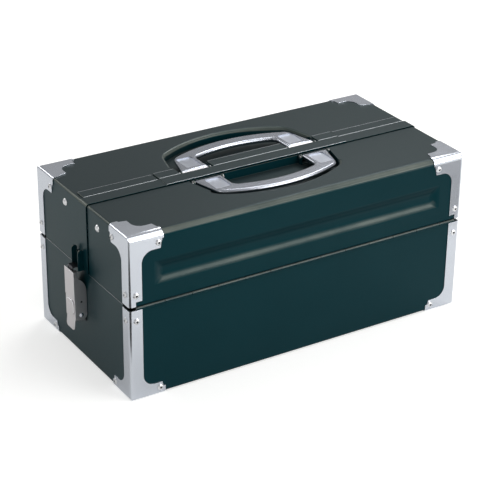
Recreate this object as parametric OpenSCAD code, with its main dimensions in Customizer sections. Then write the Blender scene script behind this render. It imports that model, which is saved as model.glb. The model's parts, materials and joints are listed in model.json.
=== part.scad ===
// Two-way opening sheet-steel tool case: two hinged lids, plated corners, a folding handle on each lid,
// a latch at each end, and two trays that swing out with the lids and stay level.
// Length runs along X, the front faces -Y and Z is up. The origin is the middle of the resting face.

/* [Case] */
// Length of the sheet body, end wall to end wall
case_w = 431; // [400:1:470]
// Depth of the sheet body, front wall to rear wall
case_d = 214; // [208:1:236]
// Height of the lid hinge axes above the ground
hinge_z = 111.5; // [104:0.5:124]
// Height of the sheet body's top above the ground
case_h = 194; // [190:0.5:206]
// Thickness of the sheet steel
sheet_t = 1; // [0.8:0.1:1.3]
// Radius of the long top edges
top_r = 7; // [5:0.5:9]
// Radius of the end, upright and bottom edges
end_r = 3; // [2:0.5:4]
// Gap between lid and base along the hinges and at the corners
hinge_gap = 4.4; // [4.4:0.1:6]
// Gap between lid and base along the end walls
rim_gap = 0.6; // [0.4:0.1:1.2]

/* [Seam] */
// Distance from the middle of the case forward to the edge of the rear lid's lip
seam_y = 14.5; // [12:0.5:18]
// Gap between the lip's edge and the front lid
seam_gap = 0.6; // [0.4:0.1:1]
// Height of the lip and of the seam strips above the lids
lip_rise = 1.3; // [1:0.1:1.8]
// Far edge of the seam strips behind the middle of the case
strip_far = 18.5; // [16:0.5:20]
// Half length of the raised middle stretch of the seam
block_half = 118; // [104:1:130]
// Extra height of that middle stretch
block_rise = 0.8; // [0.4:0.1:1.2]

/* [Handle recess and pressed panels] */
// Width of the recess left beside a handle
lens_side = 5.5; // [4.5:0.5:9]
// Reach of the rear recess behind the middle of the case
lens_rear = 83; // [79:1:90]
// Reach of the front recess in front of the middle of the case
lens_front = 80; // [76:1:88]
// Depth of the recesses
recess_depth = 10; // [8:0.5:10.5]
// Radius of the recesses' long curve
lens_bow_r = 150; // [140:1:190]
// Radius of the recesses' corners
lens_corner_r = 18; // [14:1:22]
// Length of the pressed panel in the front and rear walls of the lids
panel_w = 368; // [300:1:390]
// Height of the pressed panel's mouth
panel_h = 26; // [18:1:32]
// Height of the panel's middle above the hinge axis
panel_up = 35; // [30:0.5:42]
// Depth of the pressed panel
panel_depth = 3.5; // [2:0.5:5]
// Width of each of the panel's two slopes
panel_slope = 8; // [4:0.5:9]

/* [Corner plates] */
// Thickness of the corner plates
plate_t = 1; // [0.8:0.1:1.4]
// Width of the upright leg
leg_w = 14.5; // [12:0.5:18]
// Length of the flared arms along the edges
flare_l = 41; // [36:0.5:50]
// Height of the flared arms on the lids' walls
lid_flare_h = 20; // [18:0.5:24]
// Height of the flared arms on the base's walls
base_flare_h = 14.5; // [13:0.5:18]
// Slant across the ends of the flared arms
flare_slant = 4; // [2:0.5:5]
// Width of the flared arms on the top and bottom faces
flat_w = 18; // [15:0.5:22]
// Radius of the concave sweep from arm to leg
sweep_r = 13.5; // [10:0.5:16]
// Radius of that sweep on the top and bottom faces
flat_sweep_r = 11; // [9:0.5:16]
// Radius of the blind rivet heads
rivet_r = 2.7; // [2:0.1:3.2]
// Height of the blind rivet heads
rivet_h = 1.1; // [0.8:0.1:1.4]

/* [Piano hinges] */
// Outer diameter of the hinge barrel
barrel_d = 3.8; // [3.4:0.1:3.8]
// Diameter of the hinge pin
hinge_pin_d = 1.9; // [1.5:0.1:2.2]
// Distance from the end walls to the ends of the hinge
hinge_end = 7; // [5:0.5:24]
// Length of one knuckle
knuckle_l = 32.8; // [24:0.1:40]
// Height of a hinge leaf
leaf_h = 20; // [14:1:24]
// Thickness of a hinge leaf
leaf_t = 1; // [0.8:0.1:1.2]

/* [Handles] */
// Width of a handle across its feet
handle_w = 173; // [160:1:176]
// Reach of a handle from its hinge axis
handle_reach = 54; // [50:0.5:58]
// Width of a foot
foot_w = 33; // [28:0.5:38]
// Width of the bow at its middle
bow_w = 16.5; // [14:0.5:20]
// Radius of the bow's outer curve
handle_bow_r = 180; // [150:1:220]
// Radius of the handle's corners
handle_corner_r = 12; // [9:0.5:14]
// Slant of the handle's sides, from its feet to its corners
handle_taper = 8; // [4:0.5:9]
// Thickness of the handle
handle_t = 6; // [5:0.1:6]
// Radius of the curled feet
curl_r = 3; // [2.8:0.1:3.2]
// Diameter of the handle pins
handle_pin_d = 3; // [2.4:0.1:3.2]
// Depth of the pocket in each side of the handle
pocket_depth = 1.2; // [0.6:0.1:1.6]

/* [Latches] */
// Width of a latch lever
lever_w = 22; // [20:0.5:26]
// Depth of a latch lever off the end wall
lever_d = 15.6; // [14:0.2:16.4]
// Thickness of the lever's sheet
lever_t = 1.4; // [1.2:0.1:1.6]
// Height of the lever's top above the ground
lever_top = 107; // [105:0.5:110]
// Height of the lever's finger tab end above the ground
tab_low = 42.5; // [38:0.5:44]
// Height of the lever's pivot above the ground
pivot_z = 61; // [59:0.2:62]
// Distance of the latches behind the middle of the case
latch_y = 3; // [0:0.5:4]
// Diameter of the lever's pivot pin
pivot_d = 4; // [3.4:0.1:4.4]
// Gap between a keeper's two ears
ear_gap = 13.5; // [12.5:0.5:15]
// Height of a keeper's ears
ear_h = 25; // [20:0.5:28]

/* [Trays] */
// Distance of the tray pivots from the middle of the case
tray_pivot_y = 38; // [36:0.5:44]
// Depth of the tray pivots below the lid's top
tray_pivot_drop = 17; // [17:0.5:20]
// Tray front ahead of its pivots
tray_lead = 4.5; // [3:0.5:4.5]
// Half of the gap between the two trays
tray_gap = 3; // [2:0.5:3]
// Depth of a tray
tray_h = 50; // [35:1:52]
// Thickness of a tray's sheet
tray_t = 1; // [0.8:0.1:1.2]
// Arm pivot inward of the lid hinge axis
arm_in = 29; // [29:0.5:29.5]
// Arm pivot below the lid hinge axis
arm_drop = 14; // [12:0.5:14]
// Width of a tray arm
arm_w = 11; // [10:0.5:11]
// Thickness of a tray arm
arm_t = 2; // [1.6:0.1:2.2]
// Diameter of the tray and arm pivots
tray_pin_d = 5; // [4:0.1:5.4]

/* [Hidden] */
$fn = 64;

// Running fit between a pin and its bore, on the radius
fit = 0.05;
// Seat between a rivet or pin and the hole that holds it, on the radius
seat = 0.02;
// Gap kept between pieces that move past each other
clear = 0.3;
// A length past every edge of the case, for cutting tools
far = 400;

// Main planes of the case
half_w = case_w / 2;
half_d = case_d / 2;
top_z = case_h;
base_rim_z = hinge_z - rim_gap / 2;
lid_rim_z = hinge_z + rim_gap / 2;
base_hinge_z = hinge_z - hinge_gap / 2;
lid_hinge_z = hinge_z + hinge_gap / 2;
// Depth of the wider gap at the corners, just past the corner plates' legs
notch_d = leg_w + 1;
// Height of the notch in a lid's corner leg, over the end of the hinge barrel
notch_h = 5.5;
inner_x = half_w - sheet_t;

// Hinge axis just outside the wall, so that a lid can turn past upright
hinge_out = 0.6;
hinge_y = half_d + hinge_out;
hinge_l = case_w - 2 * hinge_end;
// The photographed hinge starts its knuckles off the middle by this much
knuckle_shift = -10.5;
knuckle_end = 0.15;

// The lip over the seam
front_edge_y = -(seam_y + seam_gap);
rear_edge_y = 1;
step_w = 1.5;
strip_near = rear_edge_y + step_w + 0.6;
strip_inset = 2;

// Recesses start just past the seam pieces and carry the handle axes
lens_front_near = seam_y + seam_gap + sheet_t;
lens_rear_near = strip_far + 0.6;
rear_foot_near = rear_edge_y + step_w + 0.7 + sheet_t;
curl_gap = 0.6;
front_axis_y = lens_front_near + curl_gap + curl_r;
rear_axis_y = rear_foot_near + curl_gap + curl_r;
axis_drop = 1.4;
axis_z = top_z - axis_drop;
recess_z = top_z - recess_depth;
foot_mid = handle_w / 2 - foot_w / 2;
foot_half = foot_w / 2;
ear_side = 0.5;
ear_t = 2;
foot_bay = foot_half + ear_side + ear_t + 1.2;
slot_corner_r = 8;
// Pocket between a foot and the bow
pocket_w = 19;
pocket_l = 26;
pocket_near = 5;
pocket_inset = 2.5;

// Latch planes, measured outward from the end wall
lever_half = lever_w / 2;
tab_half = lever_half - 1.5;
pivot_out = lever_d / 2 - 0.2;
cheek_out = 0.5;
cheek_r = pivot_out - cheek_out;
cheek_curve_low = pivot_z + 26;
bend_z = pivot_z - cheek_r + 1.5;
crease_z = pivot_z + 19.6;
crease_step = 0.5;
tab_flare = 1.2;
latch_gap = 0.4;
bracket_t = 1.5;
bracket_half = lever_half - lever_t - 1.6;
bracket_ear_r = 4.4;
spring_wire = 1;
spring_turns = 6;
spring_pitch = 1.6;
spring_r = pivot_d / 2 + 0.5 + spring_wire / 2;
hook_half = 5;
hook_t = 1.3;
hook_pin_d = 2.4;
hook_pin_out = pivot_out - 0.6;
hook_pin_z = pivot_z + 15.9;
hook_eye_r = 2.8;
hook_in = lever_d - lever_t - crease_step - hook_t - 0.1;
keeper_t = 1.2;
ear_sheet = 1.5;
keeper_low = lid_rim_z + 1.2;
keeper_out = 8;
bar_d = 3;
bar_out = 4.2;
bar_z = keeper_low + bar_d / 2 + 0.4;
nose_low = bar_z + bar_d / 2 + 0.6;
nose_h = 2;
nose_tip = bar_out + bar_d / 2 + latch_gap;

// Tray linkage: lid axis to tray pivot, and arm stud to arm pin, are equal and parallel
tray_pivot_z = top_z - tray_pivot_drop;
arm_pin_y = tray_pivot_y - arm_in;
arm_pin_z = tray_pivot_z - arm_drop;
stud_y = hinge_y - arm_in;
stud_z = hinge_z - arm_drop;
tray_side_gap = 7.5;
arm_side_gap = 1.5;
stud_flange = 3.5;
stud_head_t = 1.3;
pin_head_t = 0.9;
tray_x = inner_x - tray_side_gap;
arm_outer_x = inner_x - arm_side_gap;
arm_inner_x = arm_outer_x - arm_t;
tray_front = tray_pivot_y + tray_lead;
tray_top = tray_pivot_z - 1;
tray_low = tray_top - tray_h;
tray_r = 2;
tray_ear_r = 7;
pin_r = tray_pin_d / 2;
pin_head_r = pin_r + 1.7;
shoulder_r = pin_r + 1.5;

paint = [0.11, 0.2, 0.21];
plated = [0.8, 0.81, 0.83];
nickel = [0.67, 0.68, 0.71];
zinc = [0.72, 0.72, 0.73];
dark_steel = [0.33, 0.32, 0.33];
tray_grey = [0.16, 0.25, 0.26];

// Copies for the other side of the case
module rearward() mirror([0, 1, 0]) children();
module rightward() mirror([1, 0, 0]) children();

// Rectangle standing between two heights, with its own corner radii below and above
module rounded_section(w, low, high, r_low, r_high) {
    difference() {
        translate([-w / 2, low]) square([w, high - low]);
        for (side = [-1, 1]) {
            edge_cut(side * w / 2, high, side, 1, r_high);
            edge_cut(side * w / 2, low, side, -1, r_low);
        }
    }
}

// What a rounding takes off the corner at a point; the two sides say which way the corner points
module edge_cut(x, y, side_x, side_y, r) {
    spare = 1;
    difference() {
        translate([x + side_x * (spare - r) / 2, y + side_y * (spare - r) / 2]) square(r + spare, center = true);
        translate([x - side_x * r, y - side_y * r]) circle(r);
    }
}

// The whole closed case as one solid, grown outward or shrunk inward by an even skin
module case_solid(grow) {
    w = case_w + 2 * grow;
    d = case_d + 2 * grow;
    low = plate_t - grow;
    high = top_z + grow;
    r = end_r + grow;
    difference() {
        rotate([90, 0, 90]) linear_extrude(w, center = true) rounded_section(d, low, high, r, top_r + grow);
        for (x = [-1, 1]) {
            for (y = [-1, 1])
                translate([0, 0, -far]) linear_extrude(2 * far) edge_cut(x * w / 2, y * d / 2, x, y, r);
            rotate([90, 0, 0]) linear_extrude(2 * far, center = true) {
                edge_cut(x * w / 2, high, x, 1, r);
                edge_cut(x * w / 2, low, x, -1, r);
            }
        }
    }
}

// Points along an arc; skip leaves out both ends
function arc(x, y, r, from, to, steps, skip = 0) = [
    for (i = [skip:steps - skip]) let (t = from + (to - from) * i / steps) [x + r * cos(t), y + r * sin(t)]
];

// Bow below the X axis: straight sides that lean in, two rounded corners and a long curve between them
function bow_outline(half, reach, bow_r, corner_r, taper) =
    let (
        bow_y = bow_r - reach,
        corner_x = half - taper - corner_r,
        drop = sqrt(pow(bow_r - corner_r, 2) - pow(corner_x, 2)),
        corner_y = bow_y - drop,
        turn = atan2(drop, corner_x),
        side = [half - corner_x, -corner_y],
        lean = atan2(side[1], side[0]) - acos(corner_r / norm(side))
    )
    concat(
        [[-half, 0]],
        arc(-corner_x, corner_y, corner_r, 180 - lean, 180 + turn, 8),
        arc(0, bow_y, bow_r, 180 + turn, 360 - turn, 24, 1),
        arc(corner_x, corner_y, corner_r, 360 - turn, 360 + lean, 8),
        [[half, 0]]
    );

// Base
module base_shell() {
    color(paint) difference() {
        case_solid(0);
        case_solid(-sheet_t);
        translate([-far, -far, base_rim_z]) cube([2 * far, 2 * far, far]);
        for (side = [-1, 1])
            translate([-far, side * half_d - notch_d, base_hinge_z]) cube([2 * far, 2 * notch_d, far]);
    }
}

// Outline of a corner plate on a wall: the leg, the flared arm and the concave sweep between them
module wall_outline(leg_l, flare_h) {
    translate([-plate_t, 0]) square([leg_w + plate_t, leg_l]);
    polygon([[-plate_t, 0], [flare_l, 0], [flare_l - flare_slant, flare_h], [-plate_t, flare_h]]);
    sweep(leg_w, flare_h, sweep_r);
}

module flat_outline() {
    arm = [[-plate_t, -plate_t], [flare_l, -plate_t], [flare_l - flare_slant, flat_w], [-plate_t, flat_w]];
    polygon(arm);
    polygon([for (p = arm) [p[1], p[0]]]);
    sweep(flat_w, flat_w, flat_sweep_r);
}

module sweep(x, y, r) {
    translate([x, y]) difference() {
        square(r);
        translate([r, r]) circle(r);
    }
}

// Three prisms that pick a corner plate out of an even skin round the case
module corner_region(leg_l, flare_h) {
    reach = top_r + plate_t + 1;
    translate([-half_w, -half_d + reach, 0]) rotate([90, 0, 0])
        linear_extrude(reach + plate_t + 1) wall_outline(leg_l, flare_h);
    translate([-half_w - plate_t - 1, -half_d, 0]) rotate([90, 0, 90])
        linear_extrude(reach + plate_t + 1) wall_outline(leg_l, flare_h);
    translate([-half_w, -half_d, -1]) linear_extrude(reach + 1) flat_outline();
}

module corner_skin() {
    difference() {
        case_solid(plate_t);
        case_solid(0);
    }
}

module base_corner() {
    color(plated) intersection() {
        corner_skin();
        corner_region(base_hinge_z, base_flare_h);
    }
}

// A lid's leg is notched on its front face, where the hinge barrel ends under it
module lid_corner() {
    leg_l = top_z + plate_t - lid_hinge_z;
    color(plated) difference() {
        intersection() {
            corner_skin();
            translate([0, 0, top_z + plate_t]) mirror([0, 0, 1]) corner_region(leg_l, lid_flare_h);
        }
        translate([hinge_end - half_w, -half_d - 2 * plate_t, lid_hinge_z - notch_h])
            cube([leg_w, 2 * plate_t, 2 * notch_h]);
    }
}

// Blind rivet head with the dimple of its drawn mandrel, standing along Z
module rivet_head() {
    dome_r = (rivet_r * rivet_r + rivet_h * rivet_h) / (2 * rivet_h);
    rotate_extrude() difference() {
        intersection() {
            translate([0, rivet_h - dome_r]) circle(dome_r);
            square([rivet_r, rivet_h]);
        }
        translate([0, rivet_h - 0.5]) square([rivet_r / 4, 1]);
    }
}

// Rivets of one front left corner: two on the front wall and two on the end wall
module corner_rivets(arm_z, leg_z) {
    out = plate_t;
    for (place = [[flare_l - rivet_tip, arm_z], [leg_w / 2, leg_z]]) {
        translate([-half_w + place[0], -half_d - out, place[1]]) rotate([90, 0, 0]) rivet_head();
        translate([-half_w - out, -half_d + place[0], place[1]]) rotate([0, -90, 0]) rivet_head();
    }
}

// Rivet heights on the base and on the lids
base_rivet_arm = 8.5;
lid_rivet_arm = 12;
rivet_leg = 13;
rivet_tip = 6.5;

module base_corner_rivets() {
    color(plated) for (x = [0, 1], y = [0, 1])
        mirror([x, 0, 0]) mirror([0, y, 0]) corner_rivets(base_rivet_arm, base_hinge_z - rivet_leg);
}

module lid_corner_rivets() {
    color(plated) for (x = [0, 1])
        mirror([x, 0, 0]) corner_rivets(top_z - lid_rivet_arm, lid_hinge_z + rivet_leg);
}

// Piano hinge along the front wall; turn is 0 for the base's knuckles and 1 for the lid's
knuckle_first = ceil((-hinge_l / 2 - knuckle_shift) / knuckle_l) - 1;
knuckle_last = floor((hinge_l / 2 - knuckle_shift) / knuckle_l);

module hinge_leaf(turn) {
    up = turn == 0 ? -1 : 1;
    leaf_y = -half_d + sheet_t;
    clear_z = hinge_gap / 2;
    color(paint) difference() {
        union() {
            translate([-hinge_l / 2, leaf_y, up > 0 ? hinge_z + clear_z : hinge_z - leaf_h])
                cube([hinge_l, leaf_t, leaf_h - clear_z]);
            for (k = [knuckle_first:knuckle_last]) if (abs(k) % 2 == turn) {
                from = max(-hinge_l / 2, knuckle_shift + k * knuckle_l + knuckle_end);
                to = min(hinge_l / 2, knuckle_shift + (k + 1) * knuckle_l - knuckle_end);
                translate([from, -hinge_y, hinge_z]) rotate([0, 90, 0]) cylinder(d = barrel_d, h = to - from);
                translate([from, -hinge_y, up > 0 ? hinge_z : hinge_z - clear_z - 1])
                    cube([to - from, hinge_out + sheet_t + leaf_t, clear_z + 1]);
            }
        }
        translate([-far, -hinge_y, hinge_z]) rotate([0, 90, 0]) cylinder(d = hinge_pin_d + 2 * fit, h = 2 * far);
        translate([-far, -half_d - far, up > 0 ? lid_hinge_z - clear : base_hinge_z - far + clear])
            cube([2 * far, far + sheet_t, far]);
    }
}

module hinge_pin() {
    color(zinc) translate([-hinge_l / 2, -hinge_y, hinge_z]) rotate([0, 90, 0])
        cylinder(d = hinge_pin_d, h = hinge_l);
}

// Lids
module lens(near, reach, grow) {
    half = handle_w / 2 + lens_side + grow;
    translate([0, -near + grow, recess_z - grow]) linear_extrude(far)
        polygon(bow_outline(half, reach - near + 2 * grow, lens_bow_r + grow, lens_corner_r + grow, handle_taper));
}

// The rear handle's feet lie over the strips, so the rear recess has a bay for each foot
module foot_bays(near, grow) {
    for (side = [-1, 1])
        translate([side * foot_mid - foot_bay - grow, -lens_rear_near - 8, recess_z - grow])
            cube([2 * (foot_bay + grow), lens_rear_near + 8 - near + grow, far]);
}

module pressed_panel(grow) {
    mid_z = hinge_z + panel_up;
    mouth = panel_h / 2 + grow;
    half = panel_w / 2 + grow;
    translate([0, -half_d, mid_z]) intersection() {
        translate([-half, 0, 0]) rotate([90, 0, 90]) linear_extrude(2 * half) panel_section(mouth, grow);
        translate([0, 0, -mouth]) linear_extrude(2 * mouth) mirror([1, -1, 0]) panel_section(half, grow);
    }
}

// Mouth, slopes and bed of the pressed panel, seen along the wall
module panel_section(mouth, grow) {
    bed = mouth - panel_slope;
    polygon([
        [-1, -mouth], [0, -mouth], [panel_depth + grow, -bed],
        [panel_depth + grow, bed], [0, mouth], [-1, mouth]
    ]);
}

// A lid without its seam lip, drawn at the front; edge is its free edge
module lid_sheet(edge) {
    difference() {
        case_solid(0);
        difference() {
            case_solid(-sheet_t);
            children(1);
            pressed_panel(sheet_t);
        }
        children(0);
        pressed_panel(0);
        translate([-far, -far, -far]) cube([2 * far, 2 * far, far + lid_rim_z]);
        translate([-far, -half_d - notch_d, -far]) cube([2 * far, 2 * notch_d, far + lid_hinge_z]);
        translate([-far, edge, -far]) cube([2 * far, far, 2 * far]);
        translate([-far, -tray_pivot_y, tray_pivot_z]) rotate([0, 90, 0])
            cylinder(r = pin_r + seat, h = 2 * far);
    }
}

module front_lid_shell() {
    color(paint) lid_sheet(front_edge_y) {
        lens(lens_front_near, lens_front, 0);
        lens(lens_front_near, lens_front, sheet_t);
    }
}

module rear_recess(grow) {
    lens(lens_rear_near, lens_rear, grow);
    foot_bays(rear_foot_near, grow);
}

// Slice of the upper case between two distances behind the middle
module seam_slice(from, to) {
    translate([-far, from, lid_rim_z]) cube([2 * far, to - from, far]);
}

module rear_lid_shell() {
    color(paint) {
        rearward() lid_sheet(-rear_edge_y) {
            rear_recess(0);
            rear_recess(sheet_t);
        }
        intersection() {
            difference() {
                case_solid(lip_rise);
                case_solid(-sheet_t);
            }
            seam_slice(rear_edge_y, rear_edge_y + step_w);
        }
        intersection() {
            difference() {
                case_solid(lip_rise);
                case_solid(lip_rise - sheet_t);
            }
            seam_slice(-seam_y, rear_edge_y + step_w);
        }
        translate([-block_half, -seam_y, top_z + lip_rise - sheet_t])
            cube([2 * block_half, seam_y + rear_edge_y + step_w, sheet_t + block_rise]);
    }
}

// Flat strips behind the lip, left and right of the raised middle
module rear_seam_strip() {
    color(paint) translate([-half_w + end_r + strip_inset, strip_near, top_z])
        cube([half_w - end_r - strip_inset - block_half - 1, strip_far - strip_near, lip_rise]);
}

module rear_seam_blocks() {
    inner = foot_mid - foot_bay - sheet_t;
    outer = foot_mid + foot_bay + sheet_t;
    high = lip_rise + block_rise;
    deep = strip_far - strip_near;
    color(paint) {
        translate([-inner, strip_near, top_z]) cube([2 * inner, deep, high]);
        for (side = [0, 1]) mirror([side, 0, 0])
            translate([outer, strip_near, top_z]) cube([block_half - outer, deep, high]);
    }
}

// Handles, drawn with the hinge axis at the origin and the bow towards -Y
module handle() {
    slot_half = handle_w / 2 - foot_w;
    slot = bow_outline(slot_half, handle_reach - bow_w, handle_bow_r - bow_w, slot_corner_r, 0);
    color(nickel) difference() {
        union() {
            translate([0, 0, curl_r - handle_t]) linear_extrude(handle_t) difference() {
                polygon(bow_outline(handle_w / 2, handle_reach, handle_bow_r, handle_corner_r, handle_taper));
                polygon(concat(slot, [[slot_half, curl_r], [-slot_half, curl_r]]));
            }
            for (side = [-1, 1]) translate([side * foot_mid - foot_half, 0, 0]) rotate([0, 90, 0])
                cylinder(r = curl_r, h = foot_w);
        }
        for (side = [-1, 1])
            translate([side * (foot_mid - pocket_inset), -pocket_near - pocket_l / 2, curl_r])
                cube([pocket_w, pocket_l, 2 * pocket_depth], center = true);
        translate([-far, 0, 0]) rotate([0, 90, 0]) cylinder(d = handle_pin_d + 2 * fit, h = 2 * far);
    }
}

module at_front_axis() translate([0, -front_axis_y, axis_z]) children();

module at_rear_axis() translate([0, rear_axis_y, axis_z]) rotate([0, 0, 180]) children();

// A bracket straddles each foot: a base on the recess floor and an ear at each side
module handle_brackets() {
    low = recess_z - axis_z;
    ear_r = curl_r - 0.2;
    base_t = 1.2;
    color(paint) for (side = [-1, 1]) translate([side * foot_mid, 0, 0]) difference() {
        union() {
            translate([-foot_half - ear_side - ear_t, -ear_r, low])
                cube([foot_w + 2 * (ear_side + ear_t), 2 * ear_r, base_t]);
            for (x = [-foot_half - ear_side - ear_t, foot_half + ear_side]) {
                translate([x, -ear_r, low]) cube([ear_t, 2 * ear_r, -low]);
                translate([x, 0, 0]) rotate([0, 90, 0]) cylinder(r = ear_r, h = ear_t);
            }
        }
        translate([-far, 0, 0]) rotate([0, 90, 0]) cylinder(d = handle_pin_d + 2 * seat, h = 2 * far);
    }
}

module handle_pins() {
    reach = foot_half + ear_side + ear_t;
    color(zinc) for (side = [-1, 1]) translate([side * foot_mid, 0, 0]) rotate([0, 90, 0]) {
        cylinder(d = handle_pin_d, h = 2 * reach, center = true);
        for (tip = [-1, 1]) translate([0, 0, tip * (reach + 0.4)])
            cylinder(d = handle_pin_d + 1.4, h = 0.8, center = true);
    }
}

// Latches, drawn at the left end; local X runs outward from the end wall
module at_left_end() translate([-half_w, latch_y, 0]) rightward() children();

// Extrudes a side view (outward, up) evenly to both sides of the latch's middle
module latch_side_view(w) {
    rotate([90, 0, 0]) linear_extrude(w, center = true) children();
}

module latch_lever() {
    outer = lever_d;
    inner = lever_d - lever_t;
    lower = outer - crease_step;
    color(zinc) difference() {
        union() {
            latch_side_view(lever_w) polygon([
                [inner - crease_step, bend_z], [lower, bend_z], [lower, crease_z], [outer, crease_z + 1],
                [outer, lever_top], [inner, lever_top], [inner, crease_z], [inner - crease_step, crease_z - 1]
            ]);
            latch_side_view(2 * tab_half) polygon([
                [inner - crease_step, bend_z], [lower, bend_z],
                [lower + tab_flare, tab_low], [inner - crease_step + tab_flare, tab_low]
            ]);
            for (side = [-1, 1]) {
                translate([0, side * (lever_half - lever_t / 2), 0]) latch_side_view(lever_t) cheek_view();
                translate([inner - 4, side > 0 ? hook_half + 0.6 : -lever_half, lever_top - lever_t])
                    cube([4 + lever_t / 2, lever_half - hook_half - 0.6, lever_t]);
            }
        }
        for (pin = [[pivot_out, pivot_z, pivot_d / 2 + fit], [hook_pin_out, hook_pin_z, hook_pin_d / 2 + seat]])
            translate([pin[0], 0, pin[1]]) rotate([90, 0, 0]) cylinder(r = pin[2], h = far, center = true);
        for (side = [-1, 1]) tab_corner(side);
    }
}

// Rounds one lower corner of the finger tab
module tab_corner(side) {
    r = 4;
    translate([0, side * tab_half, tab_low]) rotate([90, 0, 90]) linear_extrude(far) difference() {
        square(2 * r, center = true);
        translate([-side * r, r]) circle(r);
    }
}

// Side cheek of the lever: round below its pivot, full depth above it, swept to the front plate at its top
module cheek_view() {
    rise = lever_top - lever_t - cheek_curve_low;
    run = lever_d - lever_t - 1 - cheek_out;
    polygon(concat(
        [for (i = [0:12]) let (t = 180 + i * 7.5)
            [pivot_out + cheek_r * cos(t), pivot_z + cheek_r * sin(t)]],
        [[lever_d - crease_step - 0.2, bend_z], [lever_d - crease_step - 0.2, lever_top - lever_t]],
        [for (i = [0:12]) let (t = i * 7.5)
            [cheek_out + run * (1 - sin(t)), cheek_curve_low + rise * cos(t)]]
    ));
}

module latch_bracket() {
    color(dark_steel) difference() {
        union() {
            translate([0, -bracket_half, bend_z - 5]) cube([bracket_t, 2 * bracket_half, pivot_z - bend_z + 28]);
            for (side = [-1, 1]) translate([0, side * (bracket_half - bracket_t / 2), 0]) {
                translate([pivot_out, 0, pivot_z]) rotate([90, 0, 0])
                    cylinder(r = bracket_ear_r, h = bracket_t, center = true);
                translate([0, -bracket_t / 2, pivot_z - bracket_ear_r])
                    cube([pivot_out, bracket_t, 2 * bracket_ear_r]);
            }
        }
        translate([pivot_out, 0, pivot_z]) rotate([90, 0, 0])
            cylinder(d = pivot_d + 2 * seat, h = far, center = true);
    }
}

module latch_pin() {
    head_r = pivot_d / 2 + 1.2;
    head_h = 1.5;
    color(plated) translate([pivot_out, 0, pivot_z]) rotate([90, 0, 0]) {
        cylinder(d = pivot_d, h = lever_w + 2 * clear, center = true);
        for (side = [0, 1]) mirror([0, 0, side]) translate([0, 0, lever_half + clear]) difference() {
            translate([0, 0, -head_r + head_h]) sphere(head_r);
            translate([-far / 2, -far / 2, -far]) cube(far);
        }
    }
}

module bracket_rivets() {
    rivet_d = 4.4;
    color(plated) for (z = [bend_z - 2.4, pivot_z + bracket_ear_r + 3.6])
        translate([bracket_t, 0, z]) rotate([0, 90, 0]) cylinder(d = rivet_d, h = 0.8);
}

module latch_hook() {
    low = hook_pin_z - hook_eye_r / 2;
    high = nose_low + nose_h;
    color(dark_steel) difference() {
        latch_side_view(2 * hook_half) {
            translate([hook_pin_out, hook_pin_z]) circle(hook_eye_r);
            translate([hook_pin_out, low]) square([hook_in + hook_t - hook_pin_out, hook_eye_r]);
            translate([hook_in, low]) square([hook_t, high - low]);
            polygon([
                [nose_tip, nose_low], [hook_in, nose_low], [hook_in, high],
                [nose_tip + nose_h / 2, high], [nose_tip, high - nose_h / 2]
            ]);
        }
        translate([hook_pin_out, 0, hook_pin_z]) rotate([90, 0, 0])
            cylinder(d = hook_pin_d + 2 * seat, h = far, center = true);
    }
}

module latch_hook_pin() {
    color(dark_steel) translate([hook_pin_out, 0, hook_pin_z]) rotate([90, 0, 0])
        cylinder(d = hook_pin_d, h = lever_w + 0.4, center = true);
}

// Torsion spring round the pivot pin: a leg up the bracket, the turns, and a leg up to the hook pin
spring_steps = 16;
spring_sides = 6;
spring_leg = 9;
spring_len = spring_turns * spring_pitch;
spring_path = concat(
    [[-spring_r, -spring_len / 2, spring_leg]],
    [for (i = [0:spring_turns * spring_steps + spring_steps / 2]) let (t = 180 - i * 360 / spring_steps)
        [spring_r * cos(t), -spring_len / 2 + i * spring_pitch / spring_steps, spring_r * sin(t)]],
    [[spring_r, spring_len / 2 + spring_pitch / 2, spring_leg]]
);
function unit(v) = v / norm(v);
function along(path, i) = unit(path[min(i + 1, len(path) - 1)] - path[max(i - 1, 0)]);
function wire_ring(path, i) =
    let (n = unit(cross(along(path, i), [0, 1, 0])), m = cross(n, along(path, i)))
    [for (k = [0:spring_sides - 1]) let (a = k * 360 / spring_sides)
        path[i] + spring_wire / 2 * (cos(a) * n + sin(a) * m)];

module latch_spring() {
    count = len(spring_path);
    n = spring_sides;
    echo("least gap between the spring's turns, mm", spring_pitch - spring_wire);
    points = [for (i = [0:count - 1]) each wire_ring(spring_path, i)];
    walls = [for (i = [0:count - 2], k = [0:n - 1]) let (a = i * n + k, b = i * n + (k + 1) % n)
        each [[a, b, b + n], [a, b + n, a + n]]];
    caps = [[for (k = [n - 1:-1:0]) k], [for (k = [0:n - 1]) (count - 1) * n + k]];
    color(dark_steel) translate([pivot_out, 0, pivot_z]) polyhedron(points, concat(walls, caps));
}

// Keeper on the rear lid: a stepped foot over the lip, two round-topped ears and a bar between them
module latch_keeper() {
    ear_mid = ear_gap / 2 + ear_sheet / 2;
    ear_r = (keeper_out - lip_rise) / 2;
    plate_half = ear_gap / 2 + ear_sheet;
    plate_h = ear_h - 2 * ear_r;
    step_y = rear_edge_y + step_w + seat - latch_y;
    color(paint) {
        translate([lip_rise, -plate_half, keeper_low]) cube([keeper_t, 2 * plate_half, plate_h]);
        translate([0, step_y, keeper_low]) cube([lip_rise + keeper_t, plate_half - step_y, plate_h]);
        for (side = [-1, 1]) translate([0, side * ear_mid, 0]) latch_side_view(ear_sheet) {
            translate([lip_rise, keeper_low]) square([2 * ear_r, ear_h - ear_r]);
            translate([lip_rise + ear_r, keeper_low + ear_h - ear_r]) circle(ear_r);
        }
        translate([bar_out, 0, bar_z]) rotate([90, 0, 0]) cylinder(d = bar_d, h = ear_gap + 1, center = true);
    }
}

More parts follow.
